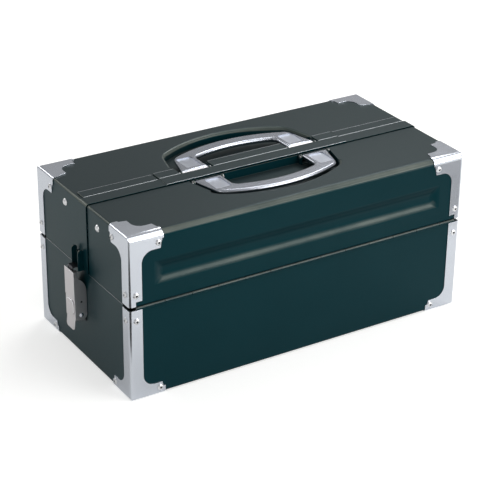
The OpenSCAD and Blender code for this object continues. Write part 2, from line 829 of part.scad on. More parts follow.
// Trays, drawn at the front
module tray_block(inset, low, high) {
    r = tray_r - inset;
    translate([0, 0, low]) linear_extrude(high - low)
        rounded_section(2 * (tray_x - inset), inset - tray_front, -tray_gap - inset, r, r);
}

module tray() {
    color(tray_grey) difference() {
        union() {
            difference() {
                tray_block(0, tray_low, tray_top);
                tray_block(tray_t, tray_low + tray_t, tray_top + 1);
            }
            for (side = [0, 1]) mirror([side, 0, 0])
                translate([tray_x - tray_t, -tray_pivot_y, 0]) {
                    translate([0, -tray_ear_r, tray_top - 10]) cube([tray_t, 2 * tray_ear_r, 11]);
                    translate([0, 0, tray_pivot_z]) rotate([0, 90, 0]) cylinder(r = tray_ear_r, h = tray_t);
                }
        }
        translate([-far, -tray_pivot_y, tray_pivot_z]) rotate([0, 90, 0]) cylinder(r = pin_r + fit, h = 2 * far);
        translate([-far, -arm_pin_y, arm_pin_z]) rotate([0, 90, 0]) cylinder(r = pin_r + seat, h = 2 * far);
    }
}

// Stacked discs along X on one axis: each is [from x, to x, radius]
module discs(y, z, list) {
    for (disc = list)
        translate([disc[0], y, z]) rotate([0, 90, 0]) cylinder(r = disc[2], h = disc[1] - disc[0]);
}

// Domed pivot rivet through the lid's end wall, with a shoulder that carries the tray's ear
module tray_rivets() {
    dome_h = 2.2;
    dome_r = (pin_head_r * pin_head_r + dome_h * dome_h) / (2 * dome_h);
    color(plated) for (side = [0, 1]) mirror([side, 0, 0]) {
        discs(-tray_pivot_y, tray_pivot_z, [
            [tray_x - tray_t - clear - stud_head_t, tray_x - tray_t - clear, tray_lead - tray_t - clear],
            [tray_x - tray_t - clear, half_w, pin_r],
            [tray_x + clear, inner_x, shoulder_r]
        ]);
        translate([half_w, -tray_pivot_y, tray_pivot_z]) rotate([0, 90, 0]) rotate_extrude() intersection() {
            translate([0, dome_h - dome_r]) circle(dome_r);
            square([pin_head_r, dome_h]);
        }
    }
}

module tray_arm_pins() {
    color(plated) for (side = [0, 1]) mirror([side, 0, 0])
        discs(-arm_pin_y, arm_pin_z, [
            [tray_x - tray_t - pin_head_t, tray_x - tray_t, pin_head_r],
            [tray_x - tray_t, arm_outer_x + clear, pin_r],
            [tray_x, arm_inner_x - clear, shoulder_r],
            [arm_outer_x + clear, arm_outer_x + clear + pin_head_t, pin_head_r]
        ]);
}

module tray_arm_studs() {
    color(zinc) for (x = [0, 1], y = [0, 1]) mirror([x, 0, 0]) mirror([0, y, 0])
        discs(-stud_y, stud_z, [
            [arm_outer_x + clear, inner_x, pin_r + stud_flange],
            [arm_inner_x - clear, arm_outer_x + clear, pin_r],
            [arm_inner_x - clear - stud_head_t, arm_inner_x - clear, pin_head_r]
        ]);
}

// Right front arm: a flat bar from its stud in the base up to its pin in the tray
module tray_arm() {
    run = [arm_pin_y - stud_y, arm_pin_z - stud_z];
    color(zinc) translate([arm_inner_x, -stud_y, stud_z]) rotate([90, 0, 90]) linear_extrude(arm_t) difference() {
        union() {
            rotate(atan2(run[1], -run[0])) translate([0, -arm_w / 2]) square([norm(run), arm_w]);
            for (p = [[0, 0], [-run[0], run[1]]]) translate(p) circle(d = arm_w);
        }
        for (p = [[0, 0], [-run[0], run[1]]]) translate(p) circle(r = pin_r + fit);
    }
}

base_shell();
base_corner();  // base_corner_front_left
rightward() base_corner();  // base_corner_front_right
rearward() base_corner();  // base_corner_rear_left
rightward() rearward() base_corner();  // base_corner_rear_right
base_corner_rivets();
hinge_leaf(0);  // front_hinge_base_leaf
hinge_pin();  // front_hinge_pin
rearward() hinge_leaf(0);  // rear_hinge_base_leaf
rearward() hinge_pin();  // rear_hinge_pin
at_left_end() latch_bracket();  // left_latch_bracket
at_left_end() latch_pin();  // left_latch_pin
rightward() at_left_end() latch_bracket();  // right_latch_bracket
rightward() at_left_end() latch_pin();  // right_latch_pin
union() {  // latch_bracket_rivets
    at_left_end() bracket_rivets();
    rightward() at_left_end() bracket_rivets();
}
tray_arm_studs();
front_lid_shell();
lid_corner();  // front_lid_corner_left
rightward() lid_corner();  // front_lid_corner_right
lid_corner_rivets();  // front_lid_corner_rivets
hinge_leaf(1);  // front_hinge_lid_leaf
at_front_axis() handle_brackets();  // front_handle_brackets
at_front_axis() handle_pins();  // front_handle_pins
tray_rivets();  // front_tray_rivets
rear_lid_shell();
rearward() lid_corner();  // rear_lid_corner_left
rightward() rearward() lid_corner();  // rear_lid_corner_right
rearward() lid_corner_rivets();  // rear_lid_corner_rivets
rearward() hinge_leaf(1);  // rear_hinge_lid_leaf
at_rear_axis() handle_brackets();  // rear_handle_brackets
at_rear_axis() handle_pins();  // rear_handle_pins
rearward() tray_rivets();  // rear_tray_rivets
rear_seam_strip();  // rear_seam_strip_left
rightward() rear_seam_strip();  // rear_seam_strip_right
rear_seam_blocks();
at_left_end() latch_keeper();  // left_latch_keeper
rightward() at_left_end() latch_keeper();  // right_latch_keeper
at_front_axis() handle();  // front_handle
at_rear_axis() handle();  // rear_handle
at_left_end() latch_lever();  // left_latch_lever
at_left_end() latch_hook();  // left_latch_hook
at_left_end() latch_hook_pin();  // left_latch_hook_pin
at_left_end() latch_spring();  // left_latch_spring
rightward() at_left_end() latch_lever();  // right_latch_lever
rightward() at_left_end() latch_hook();  // right_latch_hook
rightward() at_left_end() latch_hook_pin();  // right_latch_hook_pin
rightward() at_left_end() latch_spring();  // right_latch_spring
tray();  // front_tray
tray_arm_pins();  // front_tray_arm_pins
rearward() tray();  // rear_tray
rearward() tray_arm_pins();  // rear_tray_arm_pins
rightward() tray_arm();  // front_left_tray_arm
tray_arm();  // front_right_tray_arm
rightward() rearward() tray_arm();  // rear_left_tray_arm
rearward() tray_arm();  // rear_right_tray_arm
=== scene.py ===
"""Dresses a steel tool case for looks: its lids, handles, latches, hinges, rivets and trays."""
import json
import math

import bpy
from mathutils import Matrix, Vector

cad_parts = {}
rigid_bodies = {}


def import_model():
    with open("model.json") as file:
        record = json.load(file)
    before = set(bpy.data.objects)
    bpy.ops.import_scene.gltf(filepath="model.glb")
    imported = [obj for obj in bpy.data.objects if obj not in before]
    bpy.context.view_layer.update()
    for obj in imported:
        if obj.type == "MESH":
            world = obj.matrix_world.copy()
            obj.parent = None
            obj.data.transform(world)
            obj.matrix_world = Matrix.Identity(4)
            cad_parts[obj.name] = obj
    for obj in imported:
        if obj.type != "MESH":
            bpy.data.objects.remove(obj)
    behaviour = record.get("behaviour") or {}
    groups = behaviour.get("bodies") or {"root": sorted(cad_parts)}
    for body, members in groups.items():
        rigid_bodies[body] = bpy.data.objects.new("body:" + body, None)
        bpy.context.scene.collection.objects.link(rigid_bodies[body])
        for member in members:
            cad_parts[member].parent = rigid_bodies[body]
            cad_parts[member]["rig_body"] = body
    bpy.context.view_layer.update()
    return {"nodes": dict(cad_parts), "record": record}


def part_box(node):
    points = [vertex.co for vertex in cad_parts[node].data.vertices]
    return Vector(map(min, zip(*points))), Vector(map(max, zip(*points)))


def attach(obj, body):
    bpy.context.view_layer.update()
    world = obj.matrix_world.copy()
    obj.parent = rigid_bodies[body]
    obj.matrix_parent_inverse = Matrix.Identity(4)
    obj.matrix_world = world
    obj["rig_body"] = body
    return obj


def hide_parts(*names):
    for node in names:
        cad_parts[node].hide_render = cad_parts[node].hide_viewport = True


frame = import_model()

bl_info = {
    "name": "Steel Tool Case",
    "version": (1, 0, 0),
    "blender": (4, 5, 0),
    "location": "View3D > Sidebar > Tool Case",
    "description": "Dresses the solids of a steel tool case and sets a studio round it",
    "category": "Object",
}

MM = 0.001
# Points this close count as one place
NEAR = 0.05 * MM
# Faces that meet at less than this angle are parts of one flat face
FLAT_ANGLE = math.radians(0.4)
# The upright part of a level face's normal is above this
LEVEL = 0.999


def linear(text):
    """A hex sRGB colour as linear red, green and blue."""
    channels = [int(text[i:i + 2], 16) / 255 for i in (1, 3, 5)]
    return tuple(c / 12.92 if c <= 0.04045 else ((c + 0.055) / 1.055) ** 2.4 for c in channels)


def colour(label, text, words):
    """A colour that a user may change, given as its sRGB hex value."""
    return bpy.props.FloatVectorProperty(
        name=label, description=words, default=linear(text), size=3, min=0, max=1, subtype="COLOR")


def length(label, millimetres, words):
    """A size that a user may change, given in millimetres and kept in metres."""
    return bpy.props.FloatProperty(
        name=label, description=words, default=millimetres * MM, min=0, subtype="DISTANCE", unit="LENGTH")


class CaseColours(bpy.types.PropertyGroup):
    """Colours of the finishes."""
    enamel: colour("Enamel", "#04252b", "Baked enamel on the shells, strips and keepers")
    enamel_thin: colour("Thin enamel", "#082a30", "The enamel where it lies a little thinner")
    # Painted highlight: this pale tone is laid along the enamel's up-facing bends
    bend_highlight: colour("Rubbed enamel", "#73776f", "The enamel where handling has rubbed it along rounded edges")
    sheen: colour("Enamel sheen", "#1f7c84", "Tint of the enamel's reflection where it is seen square on")
    rubbed_sheen: colour("Rubbed sheen", "#9aa09c", "Tint of that reflection where the enamel is rubbed")
    nickel: colour("Bright nickel", "#dfe4ed", "Plating on the corner plates and rivets")
    satin: colour("Satin nickel", "#b9bdc6", "Plating on the handles")
    zinc: colour("Zinc", "#d7d4d6", "Plating on the latch levers and pins")
    rivet: colour("Rivet aluminium", "#f2f3f5", "Aluminium of the rivets' heads")
    # Painted shade: the near-black laid in the rivets' bores
    bore_shade: colour("Rivet bore", "#161616", "The dark bore that a rivet's broken mandrel leaves")
    spring: colour("Spring steel", "#47484c", "Oiled steel of the hooks and springs")
    # Painted reflection: the neutral grey mixed into the enamel's up-facing faces
    top_reflection: colour("Dust", "#3a3735", "Fine dust on the painted faces that look up")
    # Painted highlight: bright steel laid on up-facing edges to draw their light lines
    edge_highlight: colour("Worn steel", "#c3c7cc", "Bright steel where an edge has lost its paint")
    tray: colour("Tray enamel", "#23383a", "Enamel on the trays and their arms")
    floor: colour("Floor", "#e1e1df", "Paper under the case")


class CaseSizes(bpy.types.PropertyGroup):
    """Sizes of the small forms that the dressing adds."""
    sheet_edge: length("Sheet edge", 0.35, "Rounding of the cut edges of painted sheet")
    plate_edge: length("Plate edge", 0.25, "Rounding of the cut edges of the corner plates")
    part_edge: length("Part edge", 0.25, "Rounding of the cut edges of latch parts and trays")
    bracket_edge: length("Bracket edge", 0.3, "Rounding of the handles' brackets")
    pin_edge: length("Pin edge", 0.2, "Rounding of pins and hinge leaves")
    keeper_edge: length("Keeper edge", 0.1, "Rounding of the latch keepers' small steps")
    handle_rim: length("Handle rim", 2.6, "Rounding of the rolled rim round the handles' tops")
    pocket_corner: length("Pocket corner", 1.5, "Rounding of the corners of the handles' pad pockets")
    recess_edge: length("Recess edge", 4, "Rounding of the sheet into the handle recesses")
    strip_edge: length("Strip edge", 0.6, "Rounding of the seam strips")
    lever_edge: length("Lever edge", 1.1, "Rounding of the latch levers' folded edges")
    corner_round: length(
        "Corner round", 4, "Outer rounding of the end, upright and bottom edges over the plates")
    top_round: length("Top round", 8, "Outer rounding of the long top edges over the plates")
    panel_blend: length("Panel blend", 3.2, "Rounding where the pressed panels meet the wall")
    rivet_radius: length("Rivet radius", 3.5, "Radius of a blind rivet's head")
    rivet_height: length("Rivet height", 1.7, "Height of a blind rivet's head")
    rivet_lip: length("Rivet lip", 0.12, "Width of the lip round a blind rivet's bore")
    lever_lift: length("Lever lift", 7.5, "How far the lever's folded top is drawn up over the hook")
    pad_height: length("Lever pad height", 18, "Height of the raised thumb pad on the latch levers")
    pad_middle: length("Lever pad middle", 27, "Height of the thumb pad's middle over the lever's foot")
    pad_margin: length("Lever pad margin", 2.2, "Sheet left at each side of the thumb pad")
    pad_rise: length("Lever pad rise", 0.9, "Half the thickness of the thumb pad")
    pad_corner: length("Lever pad corner", 5, "Rounding of the thumb pad's corners")
    pad_edge: length("Lever pad edge", 0.7, "Rounding of the thumb pad's rim")


def colours():
    return bpy.context.scene.case_colours


def sizes():
    return bpy.context.scene.case_sizes


# Materials

def add(tree, kind, links=None, **settings):
    """Adds a node, sets its properties or the values of its inputs, and links sockets to its inputs."""
    node = tree.nodes.new(kind)
    for key, value in settings.items():
        if hasattr(node, key):
            setattr(node, key, value)
        else:
            node.inputs[key.replace("_", " ")].default_value = value
    for key, socket in (links or {}).items():
        tree.links.new(socket, node.inputs[key])
    return node


def feed(tree, entry, value):
    """Links an input to a socket, or sets it to a plain value."""
    if isinstance(value, bpy.types.NodeSocket):
        tree.links.new(value, entry)
    else:
        entry.default_value = value


def reckon(tree, operation, *terms):
    """Works out sockets and numbers by one operation; gives the socket of the value."""
    node = add(tree, "ShaderNodeMath", operation=operation)
    for entry, term in zip(node.inputs, terms):
        feed(tree, entry, term)
    return node.outputs["Value"]


def ramp(tree, value, start, end, low=0.0, high=1.0):
    """Carries a value over from one range to another, held at both ends; gives the socket of the result."""
    node = add(tree, "ShaderNodeMapRange", {"Value": value},
               From_Min=start, From_Max=end, To_Min=low, To_Max=high)
    return node.outputs["Result"]


def blend(tree, factor, first, second):
    """Mixes two colours, each given as itself or as a socket; gives the socket of the mixture."""
    node = add(tree, "ShaderNodeMix", {"Factor": factor}, data_type="RGBA")
    for index, tone in ((6, first), (7, second)):
        plain = not isinstance(tone, bpy.types.NodeSocket)
        feed(tree, node.inputs[index], (*tone, 1) if plain else tone)
    return node.outputs[2]


def noise(tree, place, lump_mm, detail):
    """A cloudy pattern with lumps of about that many millimetres; gives its socket."""
    node = add(tree, "ShaderNodeTexNoise", {"Vector": place}, Scale=per_metre(lump_mm), Detail=detail)
    return node.outputs["Fac"]


def bumped(tree, height, strength, depth):
    """A normal that a pattern of heights disturbs; gives its socket."""
    node = add(tree, "ShaderNodeBump", {"Height": height}, Strength=strength, Distance=depth)
    return node.outputs["Normal"]


def per_metre(millimetres):
    """A texture scale that repeats about once in that many millimetres."""
    return 1 / (millimetres * MM)


def blank(name):
    """A new material, its empty node tree, and the object coordinates that patterns read."""
    material = bpy.data.materials.new(name)
    material.use_nodes = True
    material.node_tree.nodes.clear()
    return material, material.node_tree, add(material.node_tree, "ShaderNodeTexCoord").outputs["Object"]


def baked_enamel(name, thick, thin, rough):
    """Sprayed and baked enamel on steel: an even colour, a soft gloss and the slight orange peel of spray.

    Where the sheet bends and faces up, a paler colour is laid on as a painted highlight along the edges, and
    the gloss is made smoother.
    """
    material, tree, place = blank(name)
    normal = place.node.outputs["Normal"]
    cloud = noise(tree, place, lump_mm=60, detail=3)
    tone = blend(tree, cloud, thick, thin)
    # A bent part faces none of the three axes, so the largest part of its normal is well below one
    facing = add(tree, "ShaderNodeVectorMath", {0: normal}, operation="ABSOLUTE")
    parts = add(tree, "ShaderNodeSeparateXYZ", {"Vector": facing.outputs["Vector"]}).outputs
    most = reckon(tree, "MAXIMUM", reckon(tree, "MAXIMUM", parts["X"], parts["Y"]), parts["Z"])
    rise = add(tree, "ShaderNodeSeparateXYZ", {"Vector": normal}).outputs["Z"]
    bent, looks_up = ramp(tree, most, start=0.985, end=0.9), ramp(tree, rise, start=0.0, end=0.2)
    bend = reckon(tree, "MULTIPLY", bent, looks_up)
    # Painted highlight: the pale tone is mixed in along the up-facing bends
    edge_highlight = blend(tree, reckon(tree, "MULTIPLY", bend, cloud), tone, colours().bend_highlight)
    # Faces that look up are mixed toward a neutral grey: a painted reflection of the bright studio, which
    # takes some of the green out of them
    top_reflected = blend(tree, ramp(tree, rise, start=0.9, end=0.99, high=0.45), edge_highlight, colours().top_reflection)
    peel = noise(tree, place, lump_mm=1.6, detail=2)
    gloss = ramp(tree, peel, start=0.0, end=1.0, low=rough - 0.04, high=rough + 0.05)
    smoother = -0.18
    polish = reckon(tree, "MULTIPLY_ADD", bend, smoother, gloss)
    tint = blend(tree, bend, colours().sheen, colours().rubbed_sheen)
    # Faces that look down, such as the upper slopes of the pressed panels, get a weaker reflection: painted
    # shade
    reflection_shade = ramp(tree, rise, start=-0.25, end=-0.05, low=0.08, high=0.5)
    shader = add(tree, "ShaderNodeBsdfPrincipled",
                 {"Base Color": top_reflected, "Roughness": polish, "Specular IOR Level": reflection_shade,
                  "Specular Tint": tint, "Normal": bumped(tree, peel, strength=0.12, depth=0.05 * MM)},
                 IOR=1.5)
    add(tree, "ShaderNodeOutputMaterial", {"Surface": shader.outputs["BSDF"]})
    return material


def plated_metal(name, tint, rough, grain_mm, axis):
    """Plated sheet metal: a bright reflection, broken a little by the fine grain of rolling and polishing."""
    material, tree, place = blank(name)
    stretch = add(tree, "ShaderNodeMapping", {"Vector": place},
                  Scale=[0.06 if i == axis else 1 for i in range(3)])
    grain = noise(tree, stretch.outputs["Vector"], grain_mm, detail=3)
    mixed = reckon(tree, "MULTIPLY", grain, noise(tree, place, lump_mm=25, detail=2))
    gloss = ramp(tree, mixed, start=0.0, end=0.5, low=rough - 0.03, high=rough + 0.04)
    tone = blend(tree, mixed, [c * 0.94 for c in tint], tint)
    shader = add(tree, "ShaderNodeBsdfPrincipled",
                 {"Base Color": tone, "Roughness": gloss,
                  "Normal": bumped(tree, grain, strength=0.03, depth=0.02 * MM)}, Metallic=1.0)
    add(tree, "ShaderNodeOutputMaterial", {"Surface": shader.outputs["BSDF"]})
    return material


def stippled_pad():
    """Satin nickel over a stippled pad: raised dots that scatter the light, drawn coarse enough to show."""
    material = plated_metal("stippled_nickel_pad", colours().satin, rough=0.34, grain_mm=0.8, axis=0)
    tree = material.node_tree
    nodes = {node.bl_idname: node for node in tree.nodes}
    place = nodes["ShaderNodeTexCoord"].outputs["Object"]
    dots = add(tree, "ShaderNodeTexVoronoi", {"Vector": place}, Scale=per_metre(1.3)).outputs["Distance"]
    normal = bumped(tree, dots, strength=0.5, depth=0.3 * MM)
    tree.links.new(normal, nodes["ShaderNodeBsdfPrincipled"].inputs["Normal"])
    return material


def matt_paper(name, tone, specular):
    """Uncoated paper or card: an even matt tone with the faint tooth of its fibres.

    Gives the material, its tree and the socket of its shader, which the caller links to an output.
    """
    material, tree, place = blank(name)
    tooth = bumped(tree, noise(tree, place, lump_mm=4, detail=2), strength=0.02, depth=0.05 * MM)
    shader = add(tree, "ShaderNodeBsdfPrincipled", {"Normal": tooth},
                 Base_Color=(*tone, 1), Roughness=0.9, Specular_IOR_Level=specular)
    return material, tree, shader.outputs["BSDF"]


def make_finishes():
    """The finishes by the slot that each stands for in the record, then those of small details."""
    c = colours()
    return {
        "green_paint": baked_enamel("baked_green_enamel", c.enamel, c.enamel_thin, rough=0.36),
        "tray_paint": baked_enamel("baked_tray_enamel", c.tray, c.enamel_thin, rough=0.42),
        "bright_nickel": plated_metal("bright_nickel_plate", c.nickel, rough=0.2, grain_mm=0.7, axis=2),
        "satin_nickel": plated_metal("satin_nickel_plate", c.satin, rough=0.24, grain_mm=0.8, axis=0),
        "zinc_steel": plated_metal("zinc_plated_steel", c.zinc, rough=0.34, grain_mm=0.9, axis=2),
        "dark_steel": plated_metal("oiled_spring_steel", c.spring, rough=0.4, grain_mm=0.9, axis=2),
        # Bright steel for the painted highlight lines on edges
        "highlight_steel": plated_metal("bright_steel_highlight", c.edge_highlight, rough=0.34, grain_mm=0.9, axis=0),
        "rivet_heads": plated_metal("tumbled_aluminium_rivet", c.rivet, rough=0.3, grain_mm=0.6, axis=2),
        "rivet_bores": plated_metal("painted_shade_rivet_bore", c.bore_shade, rough=0.6, grain_mm=0.6, axis=2),
        "handle_pads": stippled_pad(),
    }


FINISHES = {}


def finish_for(slot):
    if not FINISHES:
        FINISHES.update(make_finishes())
    return FINISHES[slot]


# Modelling steps

def pick(*objects):
    """Selects only these objects and makes the first one active."""
    bpy.ops.object.select_all(action="DESELECT")
    for o in objects:
        o.select_set(True)
    bpy.context.view_layer.objects.active = objects[0]


def edit(piece, mode="EDGE"):
    """Goes into edit mode on one piece with nothing selected."""
    pick(piece)
    bpy.ops.object.mode_set(mode="EDIT")
    bpy.ops.mesh.select_mode(type=mode)
    bpy.ops.mesh.select_all(action="DESELECT")


def leave():
    bpy.ops.object.mode_set(mode="OBJECT")


def solid_copy(node, name):
    """A copy of a solid as one joined mesh with whole flat faces."""
    source = frame["nodes"][node]
    piece = bpy.data.objects.new(name, source.data.copy())
    piece.data.materials.clear()
    bpy.context.scene.collection.objects.link(piece)
    pick(piece)
    bpy.ops.mesh.customdata_custom_splitnormals_clear()
    edit(piece)
    bpy.ops.mesh.select_all(action="SELECT")
    bpy.ops.mesh.remove_doubles(threshold=0.002 * MM)
    bpy.ops.mesh.dissolve_limited(angle_limit=FLAT_ANGLE)
    bpy.ops.mesh.select_all(action="DESELECT")
    leave()
    return piece


def apply(piece, kind, **settings):
    """Adds one modifier to a piece and applies it."""
    pick(piece)
    modifier = piece.modifiers.new(kind.lower(), kind)
    for key, value in settings.items():
        setattr(modifier, key, value)
    bpy.ops.object.modifier_apply(modifier=modifier.name)


def round_edges(piece, width, segments=2, angle=35):
    """Rounds the edges that are sharper than an angle."""
    apply(piece, "BEVEL", width=width, segments=segments, limit_method="ANGLE",
          angle_limit=math.radians(angle), use_clamp_overlap=False, miter_outer="MITER_ARC")


def smooth(piece, angle=40):
    """Smooth shading that keeps flat faces flat."""
    pick(piece)
    bpy.ops.object.shade_smooth_by_angle(angle=math.radians(angle))
    apply(piece, "WEIGHTED_NORMAL", keep_sharp=True, weight=60)


def discard(*objects):
    for o in objects:
        bpy.data.objects.remove(o, do_unlink=True)


def select_where(piece, mode, test):
    """Goes into edit mode with those vertices, edges or faces selected that pass a test."""
    edit(piece, mode)
    leave()
    kind = {"VERT": "vertices", "EDGE": "edges", "FACE": "polygons"}[mode]
    for part in getattr(piece.data, kind):
        part.select = test(part)
    bpy.ops.object.mode_set(mode="EDIT")


def bevel_edges(piece, test, width, segments, clamp=False):
    """Rounds the edges of a piece whose two ends pass a test."""
    select_where(piece, "EDGE", lambda e: test(*(piece.data.vertices[i].co for i in e.vertices)))
    bpy.ops.mesh.bevel(offset=width, segments=segments, affect="EDGES", clamp_overlap=clamp)
    leave()


def block(low, high):
    """A box between its lowest and its highest corner."""
    bpy.ops.object.select_all(action="DESELECT")
    bpy.ops.mesh.primitive_cube_add(size=1, location=(low + high) / 2, scale=high - low)
    box = bpy.context.object
    bpy.ops.object.transform_apply(location=True, rotation=True, scale=True)
    return box


def rounded_guide(inset):
    """The case's outer form as one rounded block, whose smooth shading the sheet pieces borrow."""
    margin = Vector((inset,) * 3)
    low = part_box("base_corner_front_left")[0] + margin
    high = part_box("rear_lid_corner_right")[1] - margin
    guide = block(low, high)
    top_round, corner_round = sizes().top_round - inset, sizes().corner_round - inset
    near, long = 0.01 * MM, 100 * MM

    def along_top(a, b):
        return a.z > high.z - near and b.z > high.z - near and abs(a.x - b.x) > near

    def along_bottom(a, b):
        return a.z < low.z + near and b.z < low.z + near and abs(a.x - b.x) > long
    bevel_edges(guide, along_top, top_round, 16)
    for end in (low.x, high.x):
        bevel_edges(guide, lambda a, b: abs(a.x - end) < near and abs(b.x - end) < near, corner_round, 10)
    bevel_edges(guide, along_bottom, corner_round, 10)
    smooth(guide, 35)
    return guide


def borrow_shading(piece, guide):
    """Gives the points of a piece that lie on a guide's skin the guide's smooth normals."""
    group = piece.vertex_groups.new(name="skin")
    skin = []
    for v in piece.data.vertices:
        found, place, _, _ = guide.closest_point_on_mesh(v.co)
        if found and (place - v.co).length < 0.12 * MM:
            skin.append(v.index)
    group.add(skin, 1, "REPLACE")
    apply(piece, "DATA_TRANSFER", object=guide, use_loop_data=True, data_types_loops={"CUSTOM_NORMAL"},
          loop_mapping="POLYINTERP_NEAREST", vertex_group="skin")
    piece.vertex_groups.clear()


def stand_for(piece, node):
    """Lets a piece ride its solid's body and stand for that solid."""
    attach(piece, body_of(node))
    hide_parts(node)


def settle(piece, node, finish=None):
    """Gives a piece its finish and lets it stand for its solid."""
    piece.data.materials.clear()
    piece.data.materials.append(finish_for(finish or slot_of(node)))
    stand_for(piece, node)


def on_edge(normal):
    """Whether a face with this normal lies on a rounded edge that looks up."""
    return 0.3 < normal.z < 0.9


def second_finish(piece, finish, test):
    """Gives the faces whose middle and normal pass a test another finish."""
    piece.data.materials.append(finish_for(finish))
    for f in piece.data.polygons:
        if test(f.center, f.normal):
            f.material_index = len(piece.data.materials) - 1


def body_of(node):
    """The body that a solid rides on."""
    return frame["nodes"][node]["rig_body"]


def slot_of(node):
    """The material slot of a solid in the record."""
    return next(row["material_slot"] for row in frame["record"]["subparts"] if row["node"] == node)


def dress(node, edge, segments=2, finish=None):
    """A solid's copy with its edges rounded, which then stands for it."""
    piece = solid_copy(node, node + "_dressed")
    if edge:
        round_edges(piece, edge, segments)
    smooth(piece)
    settle(piece, node, finish)
    return piece


class CASE_OT_stage(bpy.types.Operator):
    """Sets the camera, the paper floor and its cards, the softboxes and the surroundings"""
    bl_idname = "case.stage"
    bl_label = "Stage"

    def execute(self, context):
        scene = context.scene
        scene.view_settings.view_transform = "Standard"
        self.camera(scene)
        self.floor()
        self.flags()
        self.softboxes(scene)
        self.surroundings(scene)
        return {"FINISHED"}

    def camera(self, scene):
        """A long lens at the photographed angle, for a square frame."""
        turn, rise, roll = (math.radians(a) for a in (-32.23, 26.83, 0.76))
        target = Vector((-1.6, 0, 80)) * MM
        distance = 1.956
        focal_length_in_sensor_widths = 3.392
        back = Vector((math.sin(turn) * math.cos(rise), -math.cos(turn) * math.cos(rise), math.sin(rise)))
        level = Vector((math.cos(turn), math.sin(turn), 0))
        upright = back.cross(level)
        right = level * math.cos(roll) + upright * math.sin(roll)
        up = back.cross(right)
        lens = bpy.data.cameras.new("camera")
        lens.sensor_width = 36
        lens.lens = focal_length_in_sensor_widths * lens.sensor_width
        camera = bpy.data.objects.new("camera", lens)
        axes = Matrix((right, up, back)).transposed()
        camera.matrix_world = Matrix.Translation(target + back * distance) @ axes.to_4x4()
        scene.collection.objects.link(camera)
        scene.camera = camera

    def floor(self):
        """A wide flat sheet of white paper."""
        bpy.ops.object.select_all(action="DESELECT")
        bpy.ops.mesh.primitive_plane_add(size=12, location=(0, 0, 0))
        paper = bpy.context.object
        paper.name = "paper_floor"
        edit(paper, "FACE")
        bpy.ops.mesh.select_all(action="SELECT")
        bpy.ops.mesh.subdivide(number_cuts=3)
        leave()
        material, tree, matt = matt_paper("matt_white_paper", colours().floor, specular=0.1)
        # To the eye, and less so in reflections, the paper is lifted to white; it keeps the case's shadow
        lift_to_eye, lift_in_mirror = 0.5, 0.12
        ray = add(tree, "ShaderNodeLightPath").outputs
        eye = reckon(tree, "MULTIPLY", ray["Is Camera Ray"], lift_to_eye)
        lift = reckon(tree, "MULTIPLY_ADD", ray["Is Glossy Ray"], lift_in_mirror, eye)
        glow = add(tree, "ShaderNodeEmission", {"Strength": lift})
        total = add(tree, "ShaderNodeAddShader", {0: matt, 1: glow.outputs["Emission"]})
        add(tree, "ShaderNodeOutputMaterial", {"Surface": total.outputs["Shader"]})
        paper.data.materials.append(material)

    def flags(self):
        """Cards on the paper that show in reflections only.

        The dark one sets off the near upright edge, and the grey one shades the front lid's right plate.
        """
        # Name, place, turn in degrees, narrowing across and tone
        plan = [
            ("dark_flag", (-0.415, -0.265, 0.001), 32, 0.6, 0.01),
            ("grey_flag", (0.43, -0.43, 0.001), -58, 1.0, 0.3),
        ]
        for name, place, turn, narrow, tone in plan:
            bpy.ops.object.select_all(action="DESELECT")
            bpy.ops.mesh.primitive_circle_add(vertices=24, radius=0.16, fill_type="NGON", location=place,
                                              rotation=(0, 0, math.radians(turn)), scale=(1, narrow, 1))
            card = bpy.context.object
            card.name = name
            bpy.ops.object.transform_apply(location=True, rotation=True, scale=True)
            material, tree, matt = matt_paper(name + "_matt_card", (tone, tone, tone), specular=0.5)
            add(tree, "ShaderNodeOutputMaterial", {"Surface": matt})
            card.data.materials.append(material)
            card.visible_camera = card.visible_diffuse = card.visible_shadow = False

    def softboxes(self, scene):
        """Boxes above the front, high behind, low before the right end, behind the left end, and a fill."""
        # Name, place, width, depth and power in watts
        plan = [
            ("overhead_box", (0.72, -0.75, 1.35), 1.2, 0.8, 7),
            ("rear_box", (1.05, 0.85, 1.6), 0.9, 0.7, 10),
            ("front_box", (0.88, -1.6, 0.66), 1.4, 0.6, 14),
            ("left_rear_box", (-0.95, 1.3, 1.0), 0.8, 0.3, 2.5),
            ("left_fill", (-1.5, -0.6, 0.9), 0.8, 0.8, 2),
        ]
        aim = Vector((0, 0, 0.14))
        for name, place, wide, deep, power in plan:
            light = bpy.data.lights.new(name, "AREA")
            light.shape = "RECTANGLE"
            light.size, light.size_y, light.energy = wide, deep, power
            lamp = bpy.data.objects.new(name, light)
            lamp.location = place
            lamp.rotation_mode = "QUATERNION"
            lamp.rotation_quaternion = (aim - lamp.location).to_track_quat("-Z", "Y")
            scene.collection.objects.link(lamp)

    def surroundings(self, scene):
        """White to the eye; in reflections a white horizon, darker walls over it and a lighter ceiling."""
        world = bpy.data.worlds.new("white_studio")
        world.use_nodes = True
        tree = world.node_tree
        tree.nodes.clear()
        ray = add(tree, "ShaderNodeLightPath").outputs
        seen = reckon(tree, "MAXIMUM", ray["Is Camera Ray"], ray["Is Transmission Ray"])
        power = ramp(tree, seen, start=0.0, end=1.0, low=0.5, high=1.0)
        way = add(tree, "ShaderNodeTexCoord").outputs["Generated"]
        height = add(tree, "ShaderNodeSeparateXYZ", {"Vector": way}).outputs["Z"]
        walls = ramp(tree, height, start=0.02, end=0.12, low=1.0, high=0.3)
        ceiling = ramp(tree, height, start=0.28, end=0.45, high=0.1)
        mirrored = reckon(tree, "ADD", walls, ceiling)
        strength = add(tree, "ShaderNodeMix", {0: ray["Is Glossy Ray"], 2: power, 3: mirrored},
                       data_type="FLOAT")
        white = add(tree, "ShaderNodeBackground", {"Strength": strength.outputs[0]}, Color=(1, 1, 1, 1))
        add(tree, "ShaderNodeOutputWorld", {"Surface": white.outputs["Background"]})
        scene.world = world


